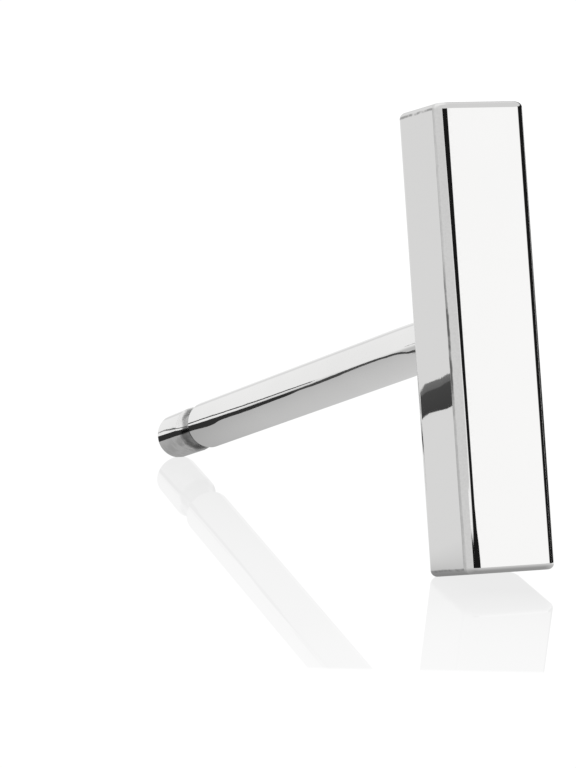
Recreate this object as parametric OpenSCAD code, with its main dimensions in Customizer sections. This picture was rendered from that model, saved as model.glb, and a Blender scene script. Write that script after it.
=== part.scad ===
// Bar earring: a square silver bar with a post soldered to the middle of its back.
// Millimetres, +Z up. The front of the bar faces -Y and the post runs back towards +Y.
// The earring is drawn as it rests on a table, standing on the bar's back lower edge
// and on the end of the post, with the bar leaning back.

/* [Bar] */
// Width of the bar across the front
bar_width = 1.5; // [1.2:0.1:3]
// Depth of the bar from front to back
bar_depth = 1.5; // [1.2:0.1:3]
// Length of the bar from end to end
bar_length = 7; // [5:0.5:14]
// Rounding of the four long edges
long_edge_round = 0.26; // [0.1:0.02:0.4]
// Rounding of the edges around both ends
end_edge_round = 0.1; // [0.06:0.02:0.2]

/* [Post] */
// Diameter of the post wire
post_diameter = 0.8; // [0.6:0.05:1]
// Length of the post along its middle line, from the back of the bar
post_length = 11.2; // [9:0.1:13]
// Height of the post's root above the lower end of the bar
post_height = 3.6; // [2:0.1:4]
// Angle by which the post is bent downwards, in degrees
post_bend = 4.5; // [1:0.5:8]
// Radius of that bend along the middle line of the wire, which starts at the back of the bar
bend_radius = 10; // [6:2:20]
// Amount by which the root of the post is slimmer than the rest, in diameter
root_slimmer = 0.05; // [0:0.01:0.1]
// Length over which the wire thickens from its root to its full diameter
root_taper = 1.2; // [0.8:0.2:3]
// Radius of the solder fillet around the root of the post
solder_fillet = 0.12; // [0.06:0.02:0.2]

/* [Groove for the ear back] */
// Width of the ring groove along the post
groove_width = 0.6; // [0.3:0.05:0.8]
// Depth of the ring groove
groove_depth = 0.1; // [0.04:0.02:0.14]
// Length of the knob between the groove and the end of the post
knob_length = 0.9; // [0.5:0.05:1.5]
// Amount by which the knob is slimmer than the post next to the groove, in diameter
knob_slimmer = 0.02; // [0:0.01:0.04]
// Amount by which the knob tapers from there to its end, in diameter
knob_taper = 0.02; // [0.02:0.01:0.05]
// Rounding of the rim at the end of the post
rim_round = 0.06; // [0.04:0.02:0.1]

/* [Where it touches the table] */
// Depth of the tiny worn flats on the heel and on the rim, where they touch the table
rest_flat = 0.008; // [0.004:0.002:0.02]

/* [Hidden] */
$fn = 96;

// How far the wire sinks into the bar, how far its bend runs on into the straight stretch,
// and how much the bend is slimmer there, so that it ends inside the straight wire
root_sink = 0.3;
bend_overlap = 0.1;
bend_inset = 0.002;

// Post radii, and the length of wire in the bend and after it
post_r = post_diameter / 2;
root_r = post_r - root_slimmer / 2;
knob_root_r = post_r - knob_slimmer / 2;
knob_r = knob_root_r - knob_taper / 2;
bend_length = bend_radius * post_bend * PI / 180;
straight_length = post_length - bend_length;

// Ring groove: cut by a ring of round section whose middle lies outside the wire
groove_ring_r = (groove_width * groove_width / 4 + groove_depth * groove_depth) / (2 * groove_depth);
groove_middle = straight_length - knob_length - groove_width / 2;

// Where the straight part starts and the wire ends, seen from the side, bar upright
straight_y = bend_radius * sin(post_bend);
straight_z = post_height - bend_radius * (1 - cos(post_bend));
tip_y = straight_y + straight_length * cos(post_bend);
tip_z = straight_z - straight_length * sin(post_bend);

// Middles of the two roundings that touch the table: the heel, which is the bar's back
// lower edge, and the rim at the end of the post
heel_y = -end_edge_round;
heel_z = end_edge_round;
rim_y = tip_y - rim_round * cos(post_bend) - (knob_r - rim_round) * sin(post_bend);
rim_z = tip_z + rim_round * sin(post_bend) - (knob_r - rim_round) * cos(post_bend);

// Lean of the bar that brings both onto the table
reach = norm([rim_y - heel_y, rim_z - heel_z]);
lean = atan2(rim_z - heel_z, rim_y - heel_y) - asin((rim_round - end_edge_round) / reach);

// Shift that puts the table at zero height and the middle of the whole length at zero
function leaned_y(y, z) = y * cos(lean) + z * sin(lean);
function leaned_z(y, z) = z * cos(lean) - y * sin(lean);
top_rim_y = tip_y - rim_round * cos(post_bend) + (knob_r - rim_round) * sin(post_bend);
top_rim_z = tip_z + rim_round * sin(post_bend) + (knob_r - rim_round) * cos(post_bend);
front_y = leaned_y(end_edge_round - bar_depth, end_edge_round) - end_edge_round;
back_y = leaned_y(top_rim_y, top_rim_z) + rim_round;
shift_y = -(front_y + back_y) / 2;
shift_z = end_edge_round - rest_flat - leaned_z(heel_y, heel_z);

// A prism of height h whose section is a rectangle a by b with rounded corners
module rounded_prism(a, b, h, r) {
    union() {
        translate([-a / 2 + r, -b / 2, 0])
            cube([a - 2 * r, b, h]);
        translate([-a / 2, -b / 2 + r, 0])
            cube([a, b - 2 * r, h]);
        for (sx = [-1, 1], sy = [-1, 1])
            translate([sx * (a / 2 - r), sy * (b / 2 - r), 0])
                cylinder(r = r, h = h);
    }
}

// The bar, upright, its back on the plane y = 0 and its lower end at zero height
module bar() {
    middle_y = -bar_depth / 2;
    spare = 1;
    intersection() {
        translate([0, middle_y, -spare])
            rounded_prism(bar_width, bar_depth, bar_length + 2 * spare, long_edge_round);
        translate([0, spare, bar_length / 2])
            rotate([90, 0, 0])
                rounded_prism(bar_width, bar_length, bar_depth + 2 * spare, end_edge_round);
        translate([-bar_width / 2 - spare, middle_y, bar_length / 2])
            rotate([0, 90, 0])
                rounded_prism(bar_length, bar_depth, bar_width + 2 * spare, end_edge_round);
    }
}

// Solder drawn up around the root of the post, hollow in section
module root_fillet() {
    translate([0, 0, post_height])
        rotate([-90, 0, 0])
            difference() {
                translate([0, 0, -solder_fillet])
                    cylinder(r = root_r + solder_fillet, h = 2 * solder_fillet);
                translate([0, 0, solder_fillet])
                    rotate_extrude()
                        translate([root_r + solder_fillet, 0])
                            circle(r = solder_fillet);
            }
}

// The gentle bend downwards, from inside the bar to just inside the straight wire
module post_curve() {
    sink_angle = root_sink / bend_radius * 180 / PI;
    overlap_angle = bend_overlap / bend_radius * 180 / PI;
    translate([0, 0, post_height - bend_radius])
        rotate([0, -90, 0])
            rotate([0, 0, -sink_angle])
                rotate_extrude(angle = sink_angle + post_bend + overlap_angle)
                    translate([bend_radius, 0])
                        circle(r = root_r - bend_inset);
}

// The straight wire, turned round its middle line: taper, full wire, then the tapered knob
module straight_wire() {
    rotate_extrude()
        polygon([
            [0, 0],
            [root_r, 0],
            [post_r, root_taper],
            [post_r, groove_middle],
            [knob_root_r, groove_middle],
            [knob_r, straight_length - rim_round],
            [0, straight_length - rim_round]
        ]);
}

// The end of the wire, its rim rounded
module wire_end() {
    translate([0, 0, straight_length - 2 * rim_round])
        cylinder(r = knob_r - rim_round, h = 2 * rim_round);
    translate([0, 0, straight_length - rim_round])
        rotate_extrude()
            translate([knob_r - rim_round, 0])
                circle(r = rim_round);
}

// The straight stretch of the post with the ring groove cut into it
module post_straight() {
    translate([0, straight_y, straight_z])
        rotate([-90 - post_bend, 0, 0])
            difference() {
                union() {
                    straight_wire();
                    wire_end();
                }
                translate([0, 0, groove_middle])
                    rotate_extrude()
                        translate([post_r - groove_depth + groove_ring_r, 0])
                            circle(r = groove_ring_r);
            }
}

// What lies below the table, which takes the tiny flats off the heel and the rim
module below_table() {
    side = 2 * (bar_length + post_length);
    translate([-side / 2, -side / 2, -side])
        cube(side);
}

// The whole earring, leaned back until it rests on the bar's heel and the rim of the post
module bar_stud() {
    color("silver")
        difference() {
            translate([0, shift_y, shift_z])
                rotate([-lean, 0, 0])
                    union() {
                        bar();
                        root_fillet();
                        post_curve();
                        post_straight();
                    }
            below_table();
        }
}

bar_stud();
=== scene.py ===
# %% [markdown]
# # A polished bar earring
# This lesson dresses a small silver bar earring: a square bar with a thin post soldered to
# its back. It is seven millimetres tall, so every size below is given in millimetres and
# turned into metres at the last moment. Polished silver has hardly any colour of its own.
# What the eye reads as silver is the room around it, so half of the lesson is about grey
# walls, dark painted reflections and a glossy table for the metal to mirror.

import math
from collections import namedtuple

import bpy
from mathutils import Matrix, Vector
from mathutils.geometry import delaunay_2d_cdt


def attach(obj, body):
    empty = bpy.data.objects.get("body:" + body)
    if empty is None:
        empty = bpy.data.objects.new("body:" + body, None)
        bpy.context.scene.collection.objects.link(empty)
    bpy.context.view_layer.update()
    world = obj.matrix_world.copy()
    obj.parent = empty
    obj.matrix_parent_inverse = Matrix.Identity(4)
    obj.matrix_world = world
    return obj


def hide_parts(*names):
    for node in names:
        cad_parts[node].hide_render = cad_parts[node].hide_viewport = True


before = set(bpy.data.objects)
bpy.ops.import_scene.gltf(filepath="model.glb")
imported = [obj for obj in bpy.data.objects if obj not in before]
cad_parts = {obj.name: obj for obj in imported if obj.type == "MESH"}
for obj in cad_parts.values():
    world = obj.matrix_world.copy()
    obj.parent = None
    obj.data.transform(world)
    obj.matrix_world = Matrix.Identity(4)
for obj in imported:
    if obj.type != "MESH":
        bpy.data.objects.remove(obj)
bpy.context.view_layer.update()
MM = 0.001
scene = bpy.context.scene
print("solids in the frame:", sorted(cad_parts))

# %% [markdown]
# ## The camera
# The real picture was taken from the front left, a little above the table, from fairly
# close. A long lens from a few centimetres away gives the same slight narrowing of the far
# end of the post. The camera could be aimed with a constraint, but a matrix made from the
# viewing direction is exact and has nothing left to solve. The real picture is slightly
# turned, and so is this one.

# %% Place the camera
AIM = Vector((-0.7792, 0.0, 2.2052)) * MM
AZIMUTH, ELEVATION, ROLL = (math.radians(a) for a in (-24.346, 8.252, 1.081))
DISTANCE = 66.495 * MM
FOCAL_LENGTH, SENSOR = 194.2, 36.0

towards_camera = Vector((
    math.sin(AZIMUTH) * math.cos(ELEVATION),
    -math.cos(AZIMUTH) * math.cos(ELEVATION),
    math.sin(ELEVATION),
))


def camera_matrix(aim, back, distance, roll):
    """Looks at aim from the direction back, turned about the line of sight by roll."""
    right = (-back).cross(Vector((0, 0, 1))).normalized()
    up = right.cross(-back)
    turned_right = right * math.cos(roll) + up * math.sin(roll)
    turned_up = up * math.cos(roll) - right * math.sin(roll)
    axes = Matrix((turned_right, turned_up, back)).transposed().to_4x4()
    return Matrix.Translation(aim + back * distance) @ axes


camera_data = bpy.data.cameras.new("studio_camera")
camera_data.sensor_width = SENSOR
camera_data.lens = FOCAL_LENGTH
camera_data.clip_start, camera_data.clip_end = 1 * MM, 20.0
camera = bpy.data.objects.new("studio_camera", camera_data)
camera.matrix_world = camera_matrix(AIM, towards_camera, DISTANCE, ROLL)
scene.collection.objects.link(camera)
scene.camera = camera
scene.view_settings.view_transform = "Standard"
print("camera stands at, mm:", [round(c / MM, 2) for c in camera.location])

# %% [markdown]
# ## The sizes of the earring
# The sizes are those of the solid in the frame. The bar is drawn upright with its back on
# the plane y = 0, the way a bench jeweller would hold it, and is then leaned back until it
# stands on its lower back edge and on the rim of the post. The root of the post, its fillet
# of solder and its length are a hair smaller than the solid's, so that nothing passes it.

# %% Sizes in millimetres
BAR_WIDTH, BAR_DEPTH, BAR_LENGTH = 1.5, 1.5, 7.0
LONG_ROUND, END_ROUND = 0.26, 0.1
POST_R, KNOB_ROOT_R, KNOB_R = 0.4, 0.39, 0.38
POST_LENGTH, POST_HEIGHT = 11.2, 3.6
BEND, BEND_RADIUS = math.radians(4.5), 10.0
ROOT_SLIMMER, ROOT_TAPER = 0.036, 2.0
GROOVE_WIDTH, GROOVE_DEPTH = 0.6, 0.1
KNOB_LENGTH, RIM_ROUND = 0.9, 0.06
FILLET = 0.115
REST_FLAT = 0.008

BEND_LENGTH = BEND_RADIUS * BEND
STRAIGHT = POST_LENGTH - BEND_LENGTH
GROOVE_MIDDLE = STRAIGHT - KNOB_LENGTH - GROOVE_WIDTH / 2
GROOVE_RING_R = (GROOVE_WIDTH**2 / 4 + GROOVE_DEPTH**2) / (2 * GROOVE_DEPTH)
print("straight part of the post, mm:", round(STRAIGHT, 3))

# %% Lean the earring back until it stands
def rim_middle(side):
    """Middle of the rounding at the end of the post: side is 1 above and -1 below."""
    along, off = STRAIGHT - RIM_ROUND, side * (KNOB_R - RIM_ROUND)
    y = BEND_RADIUS * math.sin(BEND) + along * math.cos(BEND) + off * math.sin(BEND)
    drop = BEND_RADIUS * (1 - math.cos(BEND)) + along * math.sin(BEND)
    return y, POST_HEIGHT - drop + off * math.cos(BEND)


def leaned(y, z):
    """Turns (y, z) of the upright bar backwards about the corner between back and end."""
    return y * math.cos(LEAN) + z * math.sin(LEAN), z * math.cos(LEAN) - y * math.sin(LEAN)


heel_y, heel_z = -END_ROUND, END_ROUND
rim_y, rim_z = rim_middle(-1)
rounds_apart = math.dist((heel_y, heel_z), (rim_y, rim_z))
LEAN = math.atan2(rim_z - heel_z, rim_y - heel_y) - math.asin((RIM_ROUND - END_ROUND) / rounds_apart)
front_y = leaned(END_ROUND - BAR_DEPTH, END_ROUND)[0] - END_ROUND
back_y = leaned(*rim_middle(1))[0] + RIM_ROUND
SHIFT_Y = -(front_y + back_y) / 2
SHIFT_Z = END_ROUND - REST_FLAT - leaned(heel_y, heel_z)[1]
print("leans back by degrees:", round(math.degrees(LEAN), 3))


def stand(x, y, z):
    """A point of the upright bar, where it is once the earring stands on the table."""
    back, high = leaned(y, z)
    return Vector((x, back + SHIFT_Y, max(high + SHIFT_Z, 0.0))) * MM


def stand_direction(x, y, z):
    """The same turn for a direction."""
    return Vector((x, *leaned(y, z)))


# %% [markdown]
# ## One skin for bar and post
# On the real earring the solder joins the bar and the post into one piece of metal, so the
# skin here is one closed mesh too. A mirror shows every facet, and a cube with a bevel
# would show its bevel's rings. So the rows are laid out one by one, and each corner of each
# face is given the exact direction in which the true surface looks. The flat sides then
# mirror the room as flat glass does, and the rounded edges draw one clean line each. The
# wheel has left a crease where the left and right sides meet the two front edges, so those
# two roundings start only when they have turned by CREASE degrees.

# %% The section of the bar
ARC_STEPS = 28
FLAT_STEPS = 6
CREASE = 18.0
SAME_PLACE = 1e-6
SectionPoint = namedtuple("SectionPoint", "x y out_x out_y normal_x normal_y around")


def same_place(p, q):
    """Do two points of the section lie at one place?"""
    return math.dist(p[:2], q[:2]) < SAME_PLACE


def bar_section():
    """Points around the bar: place, outward direction, surface normal, distance around."""
    half_w, half_d = BAR_WIDTH / 2, BAR_DEPTH / 2
    in_w, in_d = half_w - LONG_ROUND, half_d - LONG_ROUND
    out_w = in_w + LONG_ROUND * (1 - math.cos(math.radians(CREASE)))
    # middle of each rounding, its first and last angle, and the direction of the next flat
    corners = [
        (in_w, in_d, 0, 90, 90),
        (-in_w, in_d, 90, 180, 180),
        (-out_w, -in_d, 180 + CREASE, 270, 270),
        (out_w, -in_d, 270, 360 - CREASE, 360),
    ]
    points, around = [], 0.0
    for n, (x, y, start, end, flat) in enumerate(corners):
        for i in range(ARC_STEPS + 1):
            a = math.radians(start + (end - start) * i / ARC_STEPS)
            nx, ny = math.cos(a), math.sin(a)
            place = (x + LONG_ROUND * nx, y + LONG_ROUND * ny)
            points.append(SectionPoint(*place, nx, ny, nx, ny, around))
            if i < ARC_STEPS:
                around += LONG_ROUND * math.radians(end - start) / ARC_STEPS
        next_x, next_y, next_start = corners[(n + 1) % 4][:3]
        a = math.radians(next_start)
        goal = (next_x + LONG_ROUND * math.cos(a), next_y + LONG_ROUND * math.sin(a))
        here = points[-1]
        nx, ny = round(math.cos(math.radians(flat))), round(math.sin(math.radians(flat)))
        length = math.dist(here[:2], goal)
        for i in range(FLAT_STEPS + 1):
            t = i / FLAT_STEPS
            place = (here.x + (goal[0] - here.x) * t, here.y + (goal[1] - here.y) * t)
            out = (nx, ny)
            if i == 0:
                out = (here.out_x, here.out_y)
            elif i == FLAT_STEPS:
                out = (math.cos(a), math.sin(a))
            points.append(SectionPoint(*place, *out, nx, ny, around + length * t))
        around += length
    return points


section = bar_section()
print("points around the bar:", len(section), "distance around, mm:", round(section[-1].around, 3))

# %% The rows along the bar
END_STEPS = 12
ROW_STEP = 0.25


def bar_rows():
    """Rows up the bar: (height, inset of the sides, tilt of the surface at that height)."""
    rows = []
    for i in range(END_STEPS + 1):
        b = math.radians(90 - 90 * i / END_STEPS)
        rows.append((END_ROUND * (1 - math.sin(b)), END_ROUND * (1 - math.cos(b)), -b))
    count = round((BAR_LENGTH - 2 * END_ROUND) / ROW_STEP)
    for i in range(1, count):
        rows.append((END_ROUND + (BAR_LENGTH - 2 * END_ROUND) * i / count, 0.0, 0.0))
    for z, inset, tilt in reversed(rows[: END_STEPS + 1]):
        rows.append((BAR_LENGTH - z, inset, -tilt))
    return rows


rows = bar_rows()
print("rows up the bar:", len(rows))

# %% A small mesh builder
class Skin:
    """Collects points and faces; each corner of a face carries its own normal and grain."""

    def __init__(self):
        self.points, self.faces, self.normals, self.grain, self.kinds = [], [], [], [], []

    def point(self, x, y, z):
        """Adds a point of the upright bar or post and returns its number."""
        self.points.append(stand(x, y, z))
        return len(self.points) - 1

    def face(self, corners, kind):
        """corners holds (point number, normal as drawn upright, (across, along))."""
        self.faces.append([c[0] for c in corners])
        self.normals.extend(stand_direction(*c[1]).normalized() for c in corners)
        self.grain.extend(c[2] for c in corners)
        self.kinds.append(kind)


skin = Skin()
BAR_KIND, POST_KIND = 0, 1

# %% Lay the sides of the bar
PATCH_HALF = 0.75  # half the height of the gap that is left in the back for the post
CAP_SHIFT = 20.0  # keeps the grain of the two ends clear of the lines along the sides
centre_y = -BAR_DEPTH / 2
grid = []
for z, inset, tilt in rows:
    ring = []
    for i, p in enumerate(section):
        if i and same_place(section[i - 1], p):
            number = ring[-1][0]
        elif i and same_place(section[0], p):
            number = ring[0][0]
        else:
            number = skin.point(p.x - inset * p.out_x, p.y - inset * p.out_y + centre_y, z)
        normal = (p.normal_x * math.cos(tilt), p.normal_y * math.cos(tilt), math.sin(tilt))
        ring.append((number, normal, (p.around, z)))
    grid.append(ring)


def on_back(i):
    """Is the strip from section point i to the next one on the flat back?"""
    looks_back = min(section[i].normal_y, section[i + 1].normal_y)
    return looks_back > 0.99999 and grid[0][i][0] != grid[0][i + 1][0]


patch_rows = [
    j for j, row in enumerate(rows[:-1])
    if row[0] >= POST_HEIGHT - PATCH_HALF and rows[j + 1][0] <= POST_HEIGHT + PATCH_HALF
]
strips = [i for i in range(len(section) - 1) if grid[0][i][0] != grid[0][i + 1][0]]
for j in range(len(rows) - 1):
    for i in strips:
        if on_back(i) and j in patch_rows:
            continue
        skin.face([grid[j][i], grid[j][i + 1], grid[j + 1][i + 1], grid[j + 1][i]], BAR_KIND)
for ring, up in ((grid[0], -1), (grid[-1], 1)):
    cap = []
    for i in strips:
        place = (section[i].x + CAP_SHIFT, section[i].y + CAP_SHIFT)
        cap.append((ring[i][0], (0, 0, up), place))
    skin.face(cap if up > 0 else cap[::-1], BAR_KIND)
print("faces on the bar:", len(skin.faces))

# %% [markdown]
# ## The post
# The post is a wire: thin where it was filed to sit on the bar, full from a little further
# out, with a rolled ring groove for the ear back and a slightly slimmer knob at the end.
# It could be a curve with a bevel, but then its thickness and the crisp sides of the groove
# are hard to steer. A profile turned around a gently bent middle line keeps both exact.

# %% The profile of the post
SOFT_EDGE = 0.012  # how far past the groove its two edges are rounded off
WORN_SLOPE = 0.12  # how much of its slope the groove's outer side shows to the light
SPARE = 0.001  # how much shorter the post is than the solid's
CENTRE_R = 0.08  # radius of the one face in the middle of the post's end
FILLET_STEPS, TAPER_STEPS, WIRE_STEPS = 14, 32, 24
GROOVE_STEPS, KNOB_STEPS, RIM_STEPS, FACE_STEPS = 24, 6, 12, 3


def arc_profile(s0, r0, radius, first, last, steps, sign):
    """Points on an arc of the profile; sign is 1 for a bulge and -1 for a hollow."""
    found = []
    for i in range(steps + 1):
        a = math.radians(first + (last - first) * i / steps)
        found.append((s0 + radius * math.cos(a), r0 + radius * math.sin(a),
                      sign * math.cos(a), sign * math.sin(a)))
    return found


def line_profile(s0, r0, s1, r1, steps):
    """Points on a straight stretch of the profile, with its constant normal."""
    long = math.hypot(s1 - s0, r1 - r0)
    ns, nr = -(r1 - r0) / long, (s1 - s0) / long
    return [(s0 + (s1 - s0) * i / steps, r0 + (r1 - r0) * i / steps, ns, nr) for i in range(steps + 1)]


def taper_profile(s0, steps):
    """The stretch where the wire thickens, quickly at its root and then ever more gently."""
    found = []
    for i in range(steps + 1):
        s = s0 + (ROOT_TAPER - s0) * i / steps
        left = 1 - s / ROOT_TAPER
        slope = math.atan(2 * ROOT_SLIMMER * left / ROOT_TAPER)
        found.append((s, POST_R - ROOT_SLIMMER * left**2, -math.sin(slope), math.cos(slope)))
    return found


def knob_radius(s):
    """Radius of the knob at s along the straight part; it tapers towards the end."""
    share = (s - GROOVE_MIDDLE) / (STRAIGHT - RIM_ROUND - GROOVE_MIDDLE)
    return KNOB_ROOT_R + (KNOB_R - KNOB_ROOT_R) * share


def groove_angle(radius):
    """Where the hollow of the groove meets this radius, as an angle around its ring."""
    return math.degrees(math.asin((POST_R - GROOVE_DEPTH + GROOVE_RING_R - radius) / GROOVE_RING_R))


def worn_side(points, middle):
    """Lets the side of the groove towards the knob run smoothly into it, by its normals."""
    found = []
    for s, r, ns, nr in points:
        if s > middle:
            ns *= WORN_SLOPE
            nr = math.sqrt(1 - ns * ns)
        found.append((s, r, ns, nr))
    return found


full_s = POST_LENGTH - SPARE
rim_s = full_s - RIM_ROUND
groove_s = BEND_LENGTH + GROOVE_MIDDLE
ring_r = POST_R - GROOVE_DEPTH + GROOVE_RING_R
near_side = 180 + groove_angle(POST_R)
far_side = 360 - groove_angle(knob_radius(GROOVE_MIDDLE + GROOVE_WIDTH / 2))
groove = arc_profile(groove_s, ring_r, GROOVE_RING_R, near_side, far_side, GROOVE_STEPS, -1)
groove_start, knob_start = groove[0][0] - SOFT_EDGE, groove[-1][0] + SOFT_EDGE
knob_root_r = knob_radius(knob_start - BEND_LENGTH)
into_groove, out_of_groove = groove[2][:2], groove[-3][:2]
taper = taper_profile(FILLET, TAPER_STEPS)
profile = [
    arc_profile(FILLET, taper[0][1] + FILLET, FILLET, 180, 270, FILLET_STEPS, -1),
    taper,
    line_profile(ROOT_TAPER, POST_R, groove_start, POST_R, WIRE_STEPS),
    line_profile(groove_start, POST_R, *into_groove, 1),
    worn_side(groove[2:-2], groove_s),
    worn_side(line_profile(*out_of_groove, knob_start, knob_root_r, 1), groove_s),
    line_profile(knob_start, knob_root_r, rim_s, KNOB_R, KNOB_STEPS),
    arc_profile(rim_s, KNOB_R - RIM_ROUND, RIM_ROUND, 90, 0, RIM_STEPS, 1),
    line_profile(full_s, KNOB_R - RIM_ROUND, full_s, CENTRE_R, FACE_STEPS),
]
print("stretches of the post:", len(profile), "points:", sum(len(p) for p in profile))

# %% Turn the profile around the bent middle line
POST_STEPS = 112


def middle_line(s):
    """(middle point, direction along the wire, upward normal) at distance s from the bar."""
    turn = min(s / BEND_RADIUS, BEND)
    along = Vector((0, math.cos(turn), -math.sin(turn)))
    up = Vector((0, math.sin(turn), math.cos(turn)))
    drop = BEND_RADIUS * (1 - math.cos(turn))
    middle = Vector((0, BEND_RADIUS * math.sin(turn), POST_HEIGHT - drop))
    return middle + along * max(s - BEND_LENGTH, 0.0), along, up


def post_ring(s, r, ns, nr, ring=None):
    """One ring of corners; passing an older ring keeps its points and changes the normals."""
    middle, along, up = middle_line(s)
    made = []
    for i in range(POST_STEPS):
        a = 2 * math.pi * i / POST_STEPS
        out = up * math.cos(a) + Vector((1, 0, 0)) * math.sin(a)
        number = ring[i][0] if ring else skin.point(*(middle + out * r))
        normal = along * ns + out * nr
        made.append((number, tuple(normal), (POST_R * a, s)))
    return made


ring = root_ring = None
for stretch in profile:
    for n, (s, r, ns, nr) in enumerate(stretch):
        older = ring
        ring = post_ring(s, r, ns, nr, ring if n == 0 and ring else None)
        if root_ring is None:
            root_ring = ring
        if n == 0:
            continue
        for i in range(POST_STEPS):
            k = (i + 1) % POST_STEPS
            skin.face([older[i], older[k], ring[k], ring[i]], POST_KIND)
end_along = middle_line(full_s)[1]
skin.face([(c[0], tuple(end_along), c[2]) for c in ring], POST_KIND)
print("points in the skin so far:", len(skin.points))

# %% [markdown]
# ## Closing the back around the solder
# The back of the bar still has a rectangular gap, and the fillet of solder ends in a ring.
# Triangles between the two close the skin. They all lie in the plane of the back, so their
# pattern never shows; a boolean would do the same but leaves slivers along the ring.

# %% Fill the gap between the bar's back and the solder
first, last = patch_rows[0], patch_rows[-1] + 1
back_strips = [i for i in strips if on_back(i)]
back_points = back_strips + [back_strips[-1] + 1]
loop = [grid[first][i] for i in back_points]
loop += [grid[j][back_points[-1]] for j in range(first + 1, last)]
loop += [grid[last][i] for i in reversed(back_points)]
loop += [grid[j][back_points[0]] for j in range(last - 1, first, -1)]


def upright(number):
    """(across, up) of a point on the back, measured before the bar leans."""
    p = skin.points[number] / MM
    z = (p.z - SHIFT_Z) * math.cos(LEAN) + (p.y - SHIFT_Y) * math.sin(LEAN)
    return Vector((p.x, z))


outer, inner = [c[0] for c in loop], [c[0] for c in root_ring]
flat_points = [upright(n) for n in outer + inner]
edges = [(i, (i + 1) % len(outer)) for i in range(len(outer))]
edges += [(len(outer) + i, len(outer) + (i + 1) % len(inner)) for i in range(len(inner))]
places, _, triangles, sources, _, _ = delaunay_2d_cdt(flat_points, edges, [], 1, 1e-7)
numbers = [(outer + inner)[source[0]] for source in sources]
patch_count = 0
for triangle in triangles:
    if all(numbers[i] in inner for i in triangle):
        continue
    corners = [(numbers[i], (0, 1, 0), tuple(places[i])) for i in triangle]
    skin.face(corners[::-1], BAR_KIND)
    patch_count += 1
print("triangles in the patch:", patch_count)

# %% Turn the collected skin into a mesh
used = sorted({n for f in skin.faces for n in f})
renumber = {n: i for i, n in enumerate(used)}
mesh = bpy.data.meshes.new("bar_and_post")
mesh.from_pydata([skin.points[n] for n in used], [], [[renumber[n] for n in f] for f in skin.faces])
mesh.polygons.foreach_set("material_index", skin.kinds)
mesh.polygons.foreach_set("use_smooth", [True] * len(skin.faces))
grain = mesh.uv_layers.new(name="grain_mm")
grain.data.foreach_set("uv", [v for pair in skin.grain for v in pair])
mesh.normals_split_custom_set(skin.normals)
mesh.update()
bar_and_post = bpy.data.objects.new("bar_and_post", mesh)
scene.collection.objects.link(bar_and_post)
edge_use = {}
for f in mesh.polygons:
    for e in f.edge_keys:
        edge_use[e] = edge_use.get(e, 0) + 1
open_edges = sum(1 for n in edge_use.values() if n != 2)
corner_normals = [Vector(mesh.corner_normals[f.loop_start].vector) for f in mesh.polygons]
inward = sum(1 for f, normal in zip(mesh.polygons, corner_normals) if f.normal.dot(normal) < 0)
print("faces:", len(mesh.polygons), "edges without two faces:", open_edges, "faces turned inward:", inward)

# %% [markdown]
# ## Effects that both finishes share
# The bar and the post are the same silver, but polished in different ways: the bar on a
# flat wheel, the post in a tumbler. The effects that serve both are node groups, built
# once. One gives the faint ripple and the hairlines that polishing leaves. One lets the
# tone of the metal drift a little, as a film from handling does. One draws a thin, uneven
# line of painted shade along an edge. A picture of scratches would be quicker to place but
# looks soft this close. The groups only put out values that change over the surface; the
# shader itself stays in the material.

# %% Helpers for nodes
def add(tree, kind, links=(), **values):
    """Adds a node, sets its properties, and fills its inputs from (socket or value, input)."""
    node = tree.nodes.new(kind)
    for label, value in values.items():
        setattr(node, label, value)
    for source, target in links:
        if hasattr(source, "links"):
            tree.links.new(source, node.inputs[target])
        else:
            node.inputs[target].default_value = source
    return node


def calc(tree, operation, *terms):
    """One step of arithmetic on sockets and numbers; returns the result's socket."""
    links = [(term, n) for n, term in enumerate(terms)]
    return add(tree, "ShaderNodeMath", links, operation=operation).outputs[0]


def remap(tree, value, low, high, at_low, at_high, smooth=False):
    """Turns the stretch low..high of a value into at_low..at_high, held at both ends."""
    links = [(value, 0), (low, 1), (high, 2), (at_low, 3), (at_high, 4)]
    kind = "SMOOTHSTEP" if smooth else "LINEAR"
    return add(tree, "ShaderNodeMapRange", links, interpolation_type=kind).outputs[0]


def product(tree, first, *others):
    """All the values multiplied."""
    for other in others:
        first = calc(tree, "MULTIPLY", first, other)
    return first


def away_from(tree, value, middle):
    """How far a value is from the middle, to either side."""
    return calc(tree, "ABSOLUTE", calc(tree, "SUBTRACT", value, middle))


def between(tree, value, low, high, soft_low, soft_high):
    """One from low to high and zero outside, with a soft stretch inside each end."""
    risen = remap(tree, value, low, low + soft_low, 0, 1)
    return product(tree, risen, remap(tree, value, high - soft_high, high, 1, 0))


def where_marked(tree, value, mark):
    """The value where the mark is one, and one where the mark is zero."""
    return calc(tree, "MULTIPLY_ADD", calc(tree, "SUBTRACT", value, 1.0), mark, 1.0)


def measure(tree, operation, *vectors):
    """The number that a vector operation gives, such as a length or a distance."""
    links = [(vector, n) for n, vector in enumerate(vectors)]
    return add(tree, "ShaderNodeVectorMath", links, operation=operation).outputs["Value"]


def split(tree, vector):
    """The parts of a vector."""
    return add(tree, "ShaderNodeSeparateXYZ", [(vector, 0)]).outputs


def object_place(tree):
    """Where a point is on its object, in metres."""
    return add(tree, "ShaderNodeTexCoord").outputs["Object"]


def grain_place(tree):
    """Where a point is on the skin laid flat, in millimetres around and along."""
    return add(tree, "ShaderNodeUVMap", uv_map="grain_mm").outputs[0]


def noise(tree, where, scale, detail=2.0):
    """Soft noise, mostly from 0.3 to 0.7; the scale is about the bumps in one unit of place."""
    links = [(where, "Vector"), (scale, "Scale"), (detail, "Detail")]
    return add(tree, "ShaderNodeTexNoise", links).outputs["Fac"]


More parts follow.
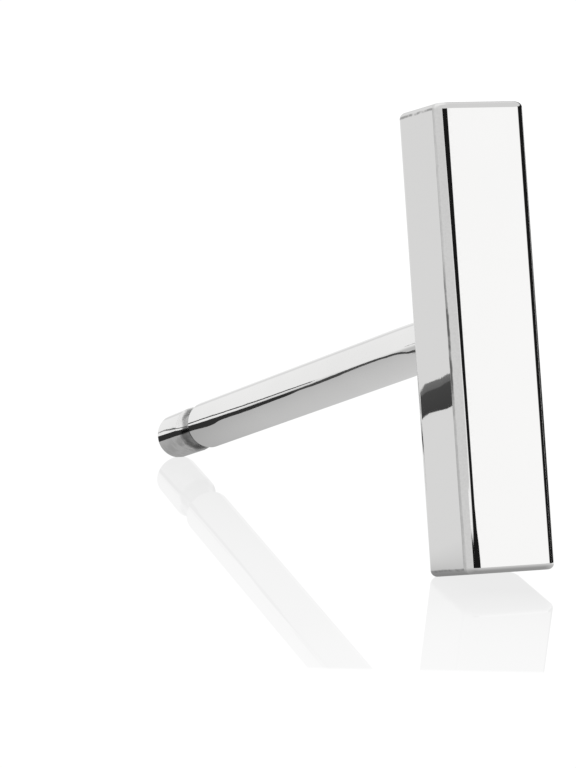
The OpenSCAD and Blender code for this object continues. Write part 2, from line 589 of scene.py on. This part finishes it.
def new_group(name, inputs, outputs):
    """A shader node group with number inputs {name: value} and a list of number outputs."""
    group = bpy.data.node_groups.new(name, "ShaderNodeTree")
    for label, value in inputs.items():
        socket = group.interface.new_socket(label, in_out="INPUT", socket_type="NodeSocketFloat")
        socket.default_value = value
    for label in outputs:
        group.interface.new_socket(label, in_out="OUTPUT", socket_type="NodeSocketFloat")
    given = group.nodes.new("NodeGroupInput").outputs
    return group, given, group.nodes.new("NodeGroupOutput").inputs


def place_group(tree, group, **values):
    """Puts a group into a material and fills its inputs; returns its outputs."""
    node = add(tree, "ShaderNodeGroup", node_tree=group)
    for label, value in values.items():
        if hasattr(value, "links"):
            tree.links.new(value, node.inputs[label])
        else:
            node.inputs[label].default_value = value
    return node.outputs


# %% Ripple and hairlines from polishing
polish, given, result = new_group(
    "polishing_marks",
    {"Across": 14.0, "Along": 0.5, "Haze": 0.03, "Ripple": 1.0, "Hairline": 1.0},
    ["Roughness", "Height"],
)
HAIR_SCALE, WAVE_SCALE, BLOTCH_SCALE = 2.0, 1900.0, 700.0
LEAST_BLOTCH, MOST_BLOTCH = 0.6, 1.5
place = object_place(polish)
stretch = add(polish, "ShaderNodeCombineXYZ", [(given["Across"], 0), (given["Along"], 1)])
links = [(grain_place(polish), 0), (stretch.outputs[0], 1)]
lined = add(polish, "ShaderNodeVectorMath", links, operation="MULTIPLY").outputs[0]
hairs = product(polish, noise(polish, lined, HAIR_SCALE, 3.0), given["Hairline"])
waves = product(polish, noise(polish, place, WAVE_SCALE, 1.0), given["Ripple"])
polish.links.new(calc(polish, "ADD", hairs, waves), result["Height"])
blotch = remap(polish, noise(polish, place, BLOTCH_SCALE), 0.3, 0.7, LEAST_BLOTCH, MOST_BLOTCH)
polish.links.new(product(polish, blotch, given["Haze"]), result["Roughness"])
print("group made:", polish.name)

# %% A slow drift of the tone
drift, given, result = new_group("tone_drift", {"Least": 0.9, "Most": 1.0, "Size": 400.0}, ["Tone"])
cloud = noise(drift, object_place(drift), given["Size"], 3.0)
drift.links.new(remap(drift, cloud, 0.3, 0.7, given["Least"], given["Most"]), result["Tone"])
print("group made:", drift.name)

# %% The thin line of painted shade along an edge
edge_shade_group, given, result = new_group(
    "painted_edge_shade", {"Place": 0.0, "Edge": 0.0, "Width": 0.04, "Wander": 0.02, "Least": 0.3}, ["Line"])
WOBBLE_SCALE, PATCHY_SCALE = 3500.0, 6000.0
SOFT_SHARE = 0.6  # share of the line's half width over which it fades
place = object_place(edge_shade_group)
wobble = calc(edge_shade_group, "SUBTRACT", noise(edge_shade_group, place, WOBBLE_SCALE, 3.0), 0.5)
moved = calc(edge_shade_group, "MULTIPLY_ADD", wobble, given["Wander"], given["Place"])
half_width = product(edge_shade_group, given["Width"], 0.5)
share_out = calc(edge_shade_group, "DIVIDE", away_from(edge_shade_group, moved, given["Edge"]), half_width)
line = remap(edge_shade_group, share_out, 1.0 - SOFT_SHARE, 1.0, 1, 0)
patchy = remap(edge_shade_group, noise(edge_shade_group, place, PATCHY_SCALE, 4.0), 0.4, 0.56, given["Least"], 1.0)
edge_shade_group.links.new(product(edge_shade_group, line, patchy), result["Line"])
print("group made:", edge_shade_group.name)

# %% [markdown]
# ## The two silver finishes
# Silver reflects more than nine tenths of the light at every angle. On the bar everything but
# the front carries painted shade, a tone a little darker than the front's. Along the edge of
# each side runs a thin line of painted shade, a little rougher as well, and the rounding next
# to it is slightly grainy. The post is rougher in its groove, where no wheel reaches, and
# carries painted shade there; at the solder it is grainy. One Principled shader per finish is
# enough, because metal is simple: metallic is one, and the rest is tone, roughness and a very
# shallow bump.

# %% Start a silver material
SILVER = (0.935, 0.932, 0.926)
BUMP_HEIGHT = 1e-6


def start_finish(name):
    """A material with no nodes yet; returns the material and its tree."""
    material = bpy.data.materials.new(name)
    material.use_nodes = True
    material.node_tree.nodes.clear()
    return material, material.node_tree


def silver_material(name, least, **marks):
    """Polished silver; returns the material, its tree, the tone, the roughness and the shader."""
    material, tree = start_finish(name)
    worked = place_group(tree, polish, **marks)
    tone = place_group(tree, drift, Least=least)["Tone"]
    links = [(worked["Height"], "Height"), (1.0, "Strength"), (BUMP_HEIGHT, "Distance")]
    bump = add(tree, "ShaderNodeBump", links)
    shader = add(tree, "ShaderNodeBsdfPrincipled", [(1.0, "Metallic"), (bump.outputs[0], "Normal")])
    add(tree, "ShaderNodeOutputMaterial", [(shader.outputs[0], "Surface")])
    return material, tree, tone, worked["Roughness"], shader


def finish_silver(tree, tone, rough, shader):
    """Multiplies the silver colour by the tone and links the roughness."""
    colour = add(tree, "ShaderNodeVectorMath", [(SILVER, 0)], operation="SCALE")
    tree.links.new(tone, colour.inputs["Scale"])
    tree.links.new(colour.outputs[0], shader.inputs["Base Color"])
    tree.links.new(rough, shader.inputs["Roughness"])


# %% Where the marks on the bar are, in millimetres around and up
# A seam is where a flat side ends and the rounding towards the front begins. The lines of
# painted shade along the seams are strong only beside the post.
left_seam = next(p.around for p in section if p.normal_x < -0.99 and p.out_x > -0.99)
right_seam = next(p.around for p in section if p.normal_x > 0.99 and p.y < 0)
strip_end = left_seam + LONG_ROUND * math.radians(90 - CREASE)
SIDE_LINE, SIDE_LINE_INSET = {"Width": 0.065, "Wander": 0.05, "Least": 0.65}, 0.02
END_LINE = {"Width": 0.05, "Wander": 0.05, "Least": 0.1}
LOW_LINE, HIGH_LINE = 0.08, BAR_LENGTH - 0.085
STRONG_MIDDLE, STRONG_HALF, FAINT_HALF = 3.45, 0.6, 1.2
print("seams at, mm around the bar:", round(left_seam, 3), round(right_seam, 3))

# %% The silver of the bar
SIDE_SHADE_TONE, LINE_SHADE_TONE, LINE_ROUGH = 0.8, 0.22, 0.2
FAINT_LINE, LOW_LINE_STRENGTH, HIGH_LINE_STRENGTH = 0.22, 0.4, 0.7
GRAIN_SCALE, GRAIN_DARK, GRAIN_LIGHT = 30000.0, 0.96, 1.03

bar_silver, tree, tone, rough, shader = silver_material(
    "bar_silver", 0.985, Across=16.0, Along=0.4, Haze=0.016, Ripple=0.5, Hairline=0.03)
around, height, _ = split(tree, grain_place(tree))
on_front = between(tree, around, left_seam, right_seam, 0.01, 0.01)
off_front = calc(tree, "SUBTRACT", 1.0, on_front)
from_middle = away_from(tree, height, STRONG_MIDDLE)
beside_post = remap(tree, from_middle, STRONG_HALF, FAINT_HALF, 1, FAINT_LINE)
# Thin lines of painted shade along both seams and near both ends; they are a little rougher too.
lines = 0.0
for where, edge, strength, marks in (
    (around, left_seam + SIDE_LINE_INSET, beside_post, SIDE_LINE),
    (around, right_seam - SIDE_LINE_INSET, beside_post, SIDE_LINE),
    (height, LOW_LINE, product(tree, off_front, LOW_LINE_STRENGTH), END_LINE),
    (height, HIGH_LINE, product(tree, off_front, HIGH_LINE_STRENGTH), END_LINE),
):
    line = place_group(tree, edge_shade_group, Place=where, Edge=edge, **marks)["Line"]
    lines = calc(tree, "MAXIMUM", lines, product(tree, line, strength))
grain = remap(tree, noise(tree, object_place(tree), GRAIN_SCALE), 0.3, 0.7, GRAIN_DARK, GRAIN_LIGHT)
on_strip = between(tree, around, left_seam, strip_end, 0.03, 0.05)
# Painted shade: everything but the front is given a darker tone than the front.
side_shade = remap(tree, on_front, 0, 1, SIDE_SHADE_TONE, 1)
line_shade_tone = remap(tree, lines, 0, 1, 1, LINE_SHADE_TONE)
tone = product(tree, tone, side_shade, line_shade_tone, where_marked(tree, grain, on_strip))
rough = calc(tree, "ADD", rough, product(tree, lines, LINE_ROUGH))
finish_silver(tree, tone, rough, shader)

# %% Start the silver of the post
post_silver, tree, tone, rough, shader = silver_material(
    "post_silver", 0.95, Across=5.0, Along=0.7, Haze=0.05, Ripple=3.0, Hairline=0.5)
wrapped, along, _ = split(tree, grain_place(tree))
place = object_place(tree)
from_groove = calc(tree, "SUBTRACT", along, groove_s)
from_below = away_from(tree, wrapped, math.pi * POST_R)
print("material started:", post_silver.name)

# %% The rougher band in the groove, with painted shade
# Around the wire, wrapped is 0 on top, 1.26 underneath and 1.88 on the side of the camera.
BAND_START, BAND_FADE, BAND_END = -GROOVE_WIDTH / 2, 0.03, (0.08, 0.15)
LOW_SIDE, LOW_REACH, SIDE_REACH = (1.75, 1.9), 0.1, 0.02
HIGH_SIDE, HIGH_REACH = (1.95, 2.38), 0.11
BAND_SHADE_TONE, BAND_ROUGH = 0.42, 0.12
CROSSING, CROSSING_HALF, CROSSING_SHADE_TONE = POST_R * math.radians(263), (0.04, 0.09), 0.22
UNDERSIDE, UNDERSIDE_SHADE_TONE = (1.2, 1.75), 0.7
low_reach = remap(tree, wrapped, *LOW_SIDE, LOW_REACH, SIDE_REACH)
reach = calc(tree, "ADD", low_reach, remap(tree, wrapped, *HIGH_SIDE, 0, HIGH_REACH))
band_end = remap(tree, calc(tree, "SUBTRACT", from_groove, reach), *BAND_END, 1, 0)
band_start = remap(tree, from_groove, BAND_START, BAND_START + BAND_FADE, 0, 1)
in_groove = product(tree, band_end, band_start)
# Painted shade in the groove: darkest in a narrow strip on the side towards the camera, and darker
# underneath.
crossing_shade = remap(tree, away_from(tree, wrapped, CROSSING), *CROSSING_HALF, CROSSING_SHADE_TONE, 1)
crossing_shade = product(tree, crossing_shade, remap(tree, wrapped, *UNDERSIDE, UNDERSIDE_SHADE_TONE, 1))
groove_shade = remap(tree, in_groove, 0, 1, 1, BAND_SHADE_TONE)
groove_shade = product(tree, groove_shade, remap(tree, in_groove, 0, 1, 1, crossing_shade))
rough = calc(tree, "ADD", rough, product(tree, in_groove, BAND_ROUGH))
print("groove is dull from, mm:", round(groove_s + BAND_START, 3))

# %% Blotchy painted shade under the groove, grainy solder, and a line of painted shade
UNDER_SHADE_SCALE, UNDER_SHADE_DARK, UNDER_SHADE_LEAD, UNDER_SHADE_REST = 5000.0, 0.5, 0.1, 0.3
UNDER_SHADE_END, UNDER_SHADE_HALF = (groove_s + 0.2, groove_s + 0.5), (0.35, 0.6)
SOLDER_SCALE, SOLDER_DARK, SOLDER_LIGHT = 14000.0, 0.5, 1.12
SOLDER_END, SOLDER_HALF = (0.15, 0.6), (0.62, 0.72)
GROOVE_EDGE_SHADE_TONE = 0.6
# Blotchy painted shade on the underside, from the groove on towards the knob.
under_shade_start = remap(tree, from_groove, -UNDER_SHADE_LEAD, 0, 0, 1)
under_shade_mask = product(tree, under_shade_start, remap(tree, along, *UNDER_SHADE_END, 1, UNDER_SHADE_REST),
                  remap(tree, from_below, *UNDER_SHADE_HALF, 1, 0))
blotchy_under_shade = remap(tree, noise(tree, place, UNDER_SHADE_SCALE, 4.0), 0.42, 0.58, UNDER_SHADE_DARK, 1)
at_solder = product(tree, remap(tree, along, *SOLDER_END, 1, 0), remap(tree, from_below, *SOLDER_HALF, 1, 0))
solder = remap(tree, noise(tree, place, SOLDER_SCALE, 3.0), 0.4, 0.6, SOLDER_DARK, SOLDER_LIGHT)
# A thin line of painted shade at the groove's edge towards the bar.
edge_line = place_group(tree, edge_shade_group, Place=from_groove, Edge=BAND_START, Width=0.05, Wander=0.02)
groove_edge_shade = remap(tree, edge_line["Line"], 0, 1, 1, GROOVE_EDGE_SHADE_TONE)
print("nodes in the post's silver so far:", len(tree.nodes))

# %% Finish the post and give both silvers to the skin
tone = product(tree, tone, groove_shade, groove_edge_shade,
               where_marked(tree, solder, at_solder), where_marked(tree, blotchy_under_shade, under_shade_mask))
finish_silver(tree, tone, rough, shader)
mesh.materials.append(bar_silver)
mesh.materials.append(post_silver)
print("finishes:", [m.name for m in mesh.materials])

# %% Tie the skin to the frame
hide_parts("bar_stud")
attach(bar_and_post, "root")

# %% [markdown]
# ## The table
# The picture was taken on a glossy white table that is blown out to pure white and mirrors
# the earring faintly, up to its front edge. What the silver mirrors of the same table is
# painted light: a grey glow, with painted shade near the earring's foot and near the end of
# the post, and a painted reflection of the bright room where the table is met at a flat
# angle. One material does both. The Light Path node tells rays from the camera and from the
# table's own gloss, which is perfectly sharp and so counts as singular, from the rays that
# come off the metal.

# %% The table top
TABLE_HALF = 3.0
corners = [(x * TABLE_HALF, y * TABLE_HALF, 0) for x, y in ((-1, -1), (1, -1), (1, 1), (-1, 1))]
table_mesh = bpy.data.meshes.new("table")
table_mesh.from_pydata(corners, [], [(0, 1, 2, 3)])
table = bpy.data.objects.new("table", table_mesh)
scene.collection.objects.link(table)
print("table side, m:", 2 * TABLE_HALF)

# %% More helpers for nodes
WHITE = (1, 1, 1, 1)


def glow(tree, level):
    """Plain white light of the given strength."""
    return add(tree, "ShaderNodeEmission", [(WHITE, "Color"), (level, "Strength")]).outputs[0]


def mix_shaders(tree, share, first, second):
    """The first shader where the share is zero and the second where it is one."""
    return add(tree, "ShaderNodeMixShader", [(share, 0), (first, 1), (second, 2)]).outputs[0]


def fading(tree, gap, reach, most):
    """A value that is most at no distance and fades out with it."""
    return product(tree, calc(tree, "EXPONENT", product(tree, gap, -1 / reach)), most)


def beyond(tree, value, half):
    """How far a value is outside minus half to half; zero inside."""
    return calc(tree, "MAXIMUM", calc(tree, "SUBTRACT", calc(tree, "ABSOLUTE", value), half), 0.0)


# %% What the camera sees of the table
# It is white, with a faint mirror image that fades in front of the earring and beside it.
MIRROR_FULL, MIRROR_GONE = 13 * MM, 22 * MM
MIRROR_EDGE, EDGE_SOFT = -11.8 * MM, 0.25 * MM
MIRROR_REACH, MIRROR_LEAST, MIRROR_MOST = 3 * MM, 0.45, 0.8
CLEAR_HALF, CLEAR_FRONT, FRONT_SLOPE = POST_R * MM, 6 * MM, 1.3
SEEN_WHITE, GLOSS_WHITE, GLOSS_SHARE = 1.05, 0.74, 0.15

table_finish, tree = start_finish("table_finish")
place = object_place(tree)
x, y, _ = split(tree, place)
forward = Vector((-towards_camera.x, -towards_camera.y, 0)).normalized()
depth = measure(tree, "DOT_PRODUCT", place, forward)
near = remap(tree, measure(tree, "LENGTH", place), MIRROR_FULL, MIRROR_GONE, 1, 0)
beside = calc(tree, "SUBTRACT", calc(tree, "ABSOLUTE", x), CLEAR_HALF)
before = calc(tree, "MULTIPLY_ADD", depth, -FRONT_SLOPE, -FRONT_SLOPE * CLEAR_FRONT)
away = calc(tree, "MAXIMUM", calc(tree, "MAXIMUM", beside, before), 0.0)
fade = calc(tree, "ADD", fading(tree, away, MIRROR_REACH, MIRROR_MOST - MIRROR_LEAST), MIRROR_LEAST)
behind_edge = remap(tree, depth, MIRROR_EDGE, MIRROR_EDGE + EDGE_SOFT, 0, 1)
share = product(tree, near, behind_edge, fade)
gloss_colour = (GLOSS_SHARE, GLOSS_SHARE, GLOSS_SHARE, 1)
gloss = add(tree, "ShaderNodeBsdfGlossy", [(gloss_colour, "Color"), (0.0, "Roughness")])
glossy_white = add(tree, "ShaderNodeAddShader", [(glow(tree, GLOSS_WHITE), 0), (gloss.outputs[0], 1)])
seen = mix_shaders(tree, share, glow(tree, SEEN_WHITE), glossy_white.outputs[0])
print("mirror image ends in front at, mm:", round(MIRROR_EDGE / MM, 2))

# %% What the metal sees of the table
# Painted light: from above it is grey, a little brighter to the right, with a painted shade
# near the foot of the bar and one near the end of the post. At a flat angle a painted
# reflection of the bright room makes it bright behind the earring.
TIP, TIP_REACH, TIP_SHADE = Vector((0, 6.4 * MM, 0)), 2.4 * MM, 0.27
FOOT_HALF_X, FOOT_HALF_Y, FOOT_BACK = 0.7 * MM, 0.75 * MM, 5.9 * MM
FOOT_REACH, FOOT_SHADE = 0.7 * MM, 0.32
ABOVE_LEVEL, SIDE_RISE, LEFT_LIMIT, RIGHT_MOST = 0.62, 14.0, -5 * MM, 0.04
BEHIND_LEVEL, FRONT_LEVEL, FRONT, BEHIND = 0.88, 0.58, -9 * MM, -5 * MM
FRONT_TURN = 0.966  # how far the front line runs back for each step to the left
STEEP, FLAT, LEAST_LEVEL = 0.70, 0.82, 0.05

# Painted shade near the foot of the bar and near the end of the post.
foot_x = beyond(tree, x, FOOT_HALF_X)
foot_y = beyond(tree, calc(tree, "ADD", y, FOOT_BACK), FOOT_HALF_Y)
foot_gap = add(tree, "ShaderNodeCombineXYZ", [(foot_x, 0), (foot_y, 1)]).outputs[0]
foot_shade = fading(tree, measure(tree, "LENGTH", foot_gap), FOOT_REACH, FOOT_SHADE)
tip_shade = fading(tree, measure(tree, "DISTANCE", place, TIP), TIP_REACH, TIP_SHADE)
rise_right = product(tree, calc(tree, "MAXIMUM", x, LEFT_LIMIT), SIDE_RISE)
above = calc(tree, "ADD", ABOVE_LEVEL, calc(tree, "MINIMUM", rise_right, RIGHT_MOST))
above = calc(tree, "SUBTRACT", calc(tree, "SUBTRACT", above, tip_shade), foot_shade)
# Painted reflection of the bright room where the table is met at a flat angle.
slanted = calc(tree, "MULTIPLY_ADD", calc(tree, "MINIMUM", x, 0.0), FRONT_TURN, y)
flat = remap(tree, slanted, FRONT, BEHIND, FRONT_LEVEL, BEHIND_LEVEL)
flat = calc(tree, "SUBTRACT", flat, foot_shade)
facing = add(tree, "ShaderNodeLayerWeight", [(0.5, "Blend")]).outputs["Facing"]
grazing = remap(tree, facing, STEEP, FLAT, 0, 1, smooth=True)
steep_part = product(tree, above, calc(tree, "SUBTRACT", 1.0, grazing))
mirrored = calc(tree, "ADD", product(tree, flat, grazing), steep_part)
mirrored = calc(tree, "MAXIMUM", mirrored, LEAST_LEVEL)
print("nodes in the table's finish so far:", len(tree.nodes))

# %% Join the two and finish the table
path = add(tree, "ShaderNodeLightPath").outputs
both = mix_shaders(tree, path["Is Camera Ray"], glow(tree, mirrored), seen)
add(tree, "ShaderNodeOutputMaterial", [(both, "Surface")])
table_mesh.materials.append(table_finish)
print("nodes in the table's finish:", len(tree.nodes))

# %% [markdown]
# ## Dark painted reflections on the table
# Bright metal without any dark in it looks like white plastic. So dark sheets are laid on
# the table where only the metal sees them: painted reflections of dark. Here they give the
# post its dark line, which narrows towards the bar, and the bar's side one dark patch. Each
# sheet is a flat ribbon a hair above the table, and its edges are smooth curves through a
# few points. Its material lets rays from the camera and from the table's gloss pass, so the
# sheet itself never shows. Some sheets have the value "steepest": only rays that meet the
# table at a flatter angle see them, so they show in the flat side of the bar and not in the
# round post. The widest, a wedge to the right, brings the black of the room down to the table
# as a painted reflection, for the dark line along the bar's right edge.

# %% The finish of the painted dark reflections
painted_dark_finish, tree = start_finish("painted_dark_finish")
path = add(tree, "ShaderNodeLightPath").outputs
level = add(tree, "ShaderNodeAttribute", attribute_name="level").outputs["Fac"]
steepest = add(tree, "ShaderNodeAttribute", attribute_name="steepest").outputs["Fac"]
facing = add(tree, "ShaderNodeLayerWeight", [(0.5, "Blend")]).outputs["Facing"]
clear = add(tree, "ShaderNodeBsdfTransparent", [(WHITE, "Color")]).outputs[0]
# Painted dark reflection: only rays off the metal see the sheet, as a dark glow.
unseen = calc(tree, "MAXIMUM", path["Is Camera Ray"], path["Is Singular Ray"])
unseen = calc(tree, "MAXIMUM", unseen, calc(tree, "LESS_THAN", facing, steepest))
add(tree, "ShaderNodeOutputMaterial", [(mix_shaders(tree, unseen, glow(tree, level), clear), "Surface")])
print("finish made:", painted_dark_finish.name)

# %% A function that lays a painted dark reflection
PAINTED_DARK_HEIGHT = 0.004


def lay_painted_dark(name, rows_of_points, steepest=-1.0):
    """rows_of_points: (far x, far y, near x, near y, far level, near level) in millimetres.

    A ray sees this painted dark reflection where its facing value, which grows as it gets
    flatter, is above steepest.
    """
    points, levels, faces = [], [], []
    for far_x, far_y, near_x, near_y, far_level, near_level in rows_of_points:
        points += [Vector(p) * MM for p in ((far_x, far_y, PAINTED_DARK_HEIGHT), (near_x, near_y, PAINTED_DARK_HEIGHT))]
        levels += [far_level, near_level]
    for i in range(0, len(points) - 2, 2):
        faces.append((i, i + 1, i + 3, i + 2))
    painted_dark_mesh = bpy.data.meshes.new(name)
    painted_dark_mesh.from_pydata(points, [], faces)
    for label, values in (("level", levels), ("steepest", [steepest] * len(points))):
        painted_dark_mesh.attributes.new(label, "FLOAT", "POINT").data.foreach_set("value", values)
    painted_dark_mesh.materials.append(painted_dark_finish)
    painted_dark_sheet = bpy.data.objects.new(name, painted_dark_mesh)
    scene.collection.objects.link(painted_dark_sheet)


# %% Draw a smooth outline through a few rows
CURVE_STEPS = 6


def smooth_rows(*rows):
    """Rows on a smooth curve through the given ones, CURVE_STEPS of them to each gap."""
    rows = [Vector(row) for row in rows]
    last = len(rows) - 1
    found = []
    for i in range(last):
        start, end = rows[i], rows[i + 1]
        leaving = (end - rows[max(i - 1, 0)]) / 2
        arriving = (rows[min(i + 2, last)] - start) / 2
        for step in range(CURVE_STEPS):
            t = step / CURVE_STEPS
            straight = start.lerp(end, t * t * (3 - 2 * t))
            found.append(straight + leaving * t * (1 - t) ** 2 - arriving * t * t * (1 - t))
    return found + [rows[-1]]


# %% Lay the painted dark reflections of the post: a dark line from knob to bar, and a thin one above it
DARK, PALER = (0.03, 0.03), (0.06, 0.06)
lay_painted_dark("painted_dark_post", smooth_rows(
    (-1.0, 8.6, -0.6, 7.1, *DARK),
    (-2.0, 8.8, -1.1, 6.5, *DARK),
    (-2.3, 8.3, -1.2, 5.9, *DARK),
    (-2.5, 8.0, -1.6, 6.1, *DARK),
    (-2.7, 7.5, -1.8, 5.6, *DARK),
    (-3.1, 7.3, -2.1, 5.4, *DARK),
    (-3.4, 7.1, -2.5, 5.2, *DARK),
    (-3.7, 6.9, -2.9, 5.4, *PALER),
    (-4.1, 7.1, -3.0, 5.0, *PALER),
    (-4.9, 7.9, -3.5, 5.1, *PALER),
    (-5.6, 8.6, -4.1, 5.6, *PALER),
    (-5.9, 8.2, -4.7, 5.8, *PALER),
    (-5.8, 6.5, -4.6, 4.4, *PALER),
    (-4.3, 3.0, -3.5, 1.9, *PALER),
    (-3.6, 1.8, -2.9, 1.1, *PALER),
))
lay_painted_dark("painted_dark_thin", smooth_rows(
    (-9.0, 36.0, -4.5, 20.0, *PALER),
    (-3.7, 15.5, -2.4, 11.3, *PALER),
    (-3.1, 12.9, -2.2, 10.1, *PALER),
    (-4.2, 14.0, -3.2, 11.2, *PALER),
    (-4.2, 12.6, -3.4, 10.3, *PALER),
    (-4.5, 11.5, -3.7, 9.4, *PALER),
    (-5.0, 10.8, -4.4, 9.1, *PALER),
    (-5.5, 10.6, -4.9, 9.1, *PALER),
))
print("tapes for the post laid")

# %% Lay the painted dark reflection in the bar's side, which is paler along its upper edge
PATCH_TOP, PATCH_LOW = (0.2, 0.15), (0.075, 0.06)
SIDE_STEEPEST = 0.825
side_rows = smooth_rows(
    (-8.9, 11.9, -8.5, 11.2, -7.3, 8.6),
    (-9.6, 13.0, -9.2, 12.1, -7.9, 9.4),
    (-10.1, 13.5, -9.7, 12.6, -8.2, 9.7),
    (-10.8, 14.3, -10.3, 13.3, -8.8, 10.2),
    (-13.0, 16.4, -12.4, 15.3, -11.0, 12.4),
)
lay_painted_dark("painted_dark_side", [(*row[:4], *PATCH_TOP) for row in side_rows], SIDE_STEEPEST)
lay_painted_dark("painted_dark_side_low", [(*row[2:], *PATCH_LOW) for row in side_rows], SIDE_STEEPEST)
print("rows in the patch:", len(side_rows))

# %% Lay the painted dark wedge to the right
EDGE_DARK, EDGE_STEEPEST = 0.012, 0.895
WEDGE_Y, WEDGE_NEAR, WEDGE_FAR = -6.0, 2.5, 400.0
WEDGE_FROM, WEDGE_TO, WEDGE_STEP = 70, 130, 6
# A painted dark reflection that brings the black of the room down to the table.
wedge = []
for degrees in range(WEDGE_FROM, WEDGE_TO + 1, WEDGE_STEP):
    across, back = math.sin(math.radians(degrees)), -math.cos(math.radians(degrees))
    ends = [c for r in (WEDGE_FAR, WEDGE_NEAR) for c in (r * across, WEDGE_Y + r * back)]
    wedge.append((*ends, EDGE_DARK, EDGE_DARK))
lay_painted_dark("painted_dark_edge", wedge, EDGE_STEEPEST)

# %% [markdown]
# ## The room
# Lamps would show as small hot spots in metal this smooth. A studio for silver is built of
# large plain surfaces instead, and so is this room: a white light box to the front right,
# grey walls, a black card at the far right for the crisp outline, and the dark gap between
# two boxes through which the camera looks. The room is a pattern over directions: degrees
# to the right of the camera, and degrees up. The gap narrows in the middle of its height.

# %% Directions in degrees
world = bpy.data.worlds.new("studio")
scene.world = world
world.use_nodes = True
tree = world.node_tree
tree.nodes.clear()
look = add(tree, "ShaderNodeTexCoord").outputs["Generated"]
spin = add(tree, "ShaderNodeVectorRotate", [(look, "Vector"), ((0, 0, 1), "Axis"), (-AZIMUTH, "Angle")])
x, y, z = split(tree, spin.outputs[0])
side = calc(tree, "DEGREES", calc(tree, "ARCTAN2", x, product(tree, y, -1.0)))
rise = calc(tree, "DEGREES", calc(tree, "ARCSINE", z))
print("nodes in the room so far:", len(tree.nodes))

# %% Widen the gap above and below its waist
# The walls stay where they are listed, and the directions are bent before they are looked up.
GAP_RIGHT, WAIST_RISE = 3.0, 12.1
BULGE_GROWTH, BULGE_MOST, BULGE_FROM = 2.0, 18.0, (-26, -20)
LOW_BULGE, LOW_BULGE_TOP, LOW_BULGE_TO = 13, 12.75, (45, 60)
off_waist = away_from(tree, rise, WAIST_RISE)
bulge = product(tree, calc(tree, "POWER", off_waist, 2.0), BULGE_GROWTH)
bulge = calc(tree, "MINIMUM", bulge, BULGE_MOST)
bulge = product(tree, bulge, remap(tree, side, *BULGE_FROM, 0, 1))
low_bulge = remap(tree, rise, WAIST_RISE, LOW_BULGE_TOP, LOW_BULGE, 0)
low_bulge = product(tree, low_bulge, remap(tree, side, *LOW_BULGE_TO, 1, 0))
left_part = calc(tree, "MINIMUM", calc(tree, "ADD", side, bulge), GAP_RIGHT)
right_part = calc(tree, "MAXIMUM", calc(tree, "SUBTRACT", side, low_bulge), GAP_RIGHT)
bent = calc(tree, "SUBTRACT", calc(tree, "ADD", left_part, right_part), GAP_RIGHT)
print("the gap is narrowest at degrees up:", WAIST_RISE)

# %% Walls and ceiling
HIGH_FROM = (18.2, 19.0)
GLOSS_BACKDROP = (1.9, 1.9, 1.9, 1)


def wall(tree, angle, table_of_stops):
    """A ring of walls from (degrees to the right of the camera, brightness) rows."""
    ramp = add(tree, "ShaderNodeValToRGB", [(remap(tree, angle, -180, 180, 0, 1), 0)])
    elements = ramp.color_ramp.elements
    while len(elements) > 1:
        elements.remove(elements[-1])
    for n, (degrees, brightness) in enumerate(table_of_stops):
        at = (degrees + 180) / 360
        element = elements[0] if n == 0 else elements.new(at)
        element.position = at
        element.color = (brightness, brightness, brightness, 1)
    return ramp.outputs[0]


def mix_colours(tree, share, first, second):
    """The first colour where the share is zero and the second where it is one."""
    links = [(share, 0), (first, 6), (second, 7)]
    return add(tree, "ShaderNodeMix", links, data_type="RGBA").outputs[2]


low_wall = wall(tree, bent, [
    (-180, 0.8), (-172.5, 0.88), (-170, 0.72), (-165.5, 0.72), (-162.5, 0.88), (-128, 0.88),
    (-112, 0.68), (-60, 0.645), (-9.5, 0.645), (-9, 0.92), (-4.5, 0.92), (-3.5, 0.01),
    (14, 0.01), (15, 1.0), (92, 1.0), (94, 0.01), (178, 0.01), (180, 0.6),
])
high_wall = wall(tree, side, [
    (-180, 0.8), (-150, 0.88), (-105, 0.86), (-60, 0.67), (130, 0.67), (180, 0.75),
])
room = mix_colours(tree, remap(tree, rise, *HIGH_FROM, 0, 1), low_wall, high_wall)
path = add(tree, "ShaderNodeLightPath").outputs
seen_room = mix_colours(tree, path["Is Singular Ray"], room, GLOSS_BACKDROP)
seen_room = mix_colours(tree, path["Is Camera Ray"], seen_room, WHITE)
air = add(tree, "ShaderNodeBackground", [(seen_room, 0), (1.0, 1)])
add(tree, "ShaderNodeOutputWorld", [(air.outputs[0], 0)])
print("nodes in the room:", len(tree.nodes))
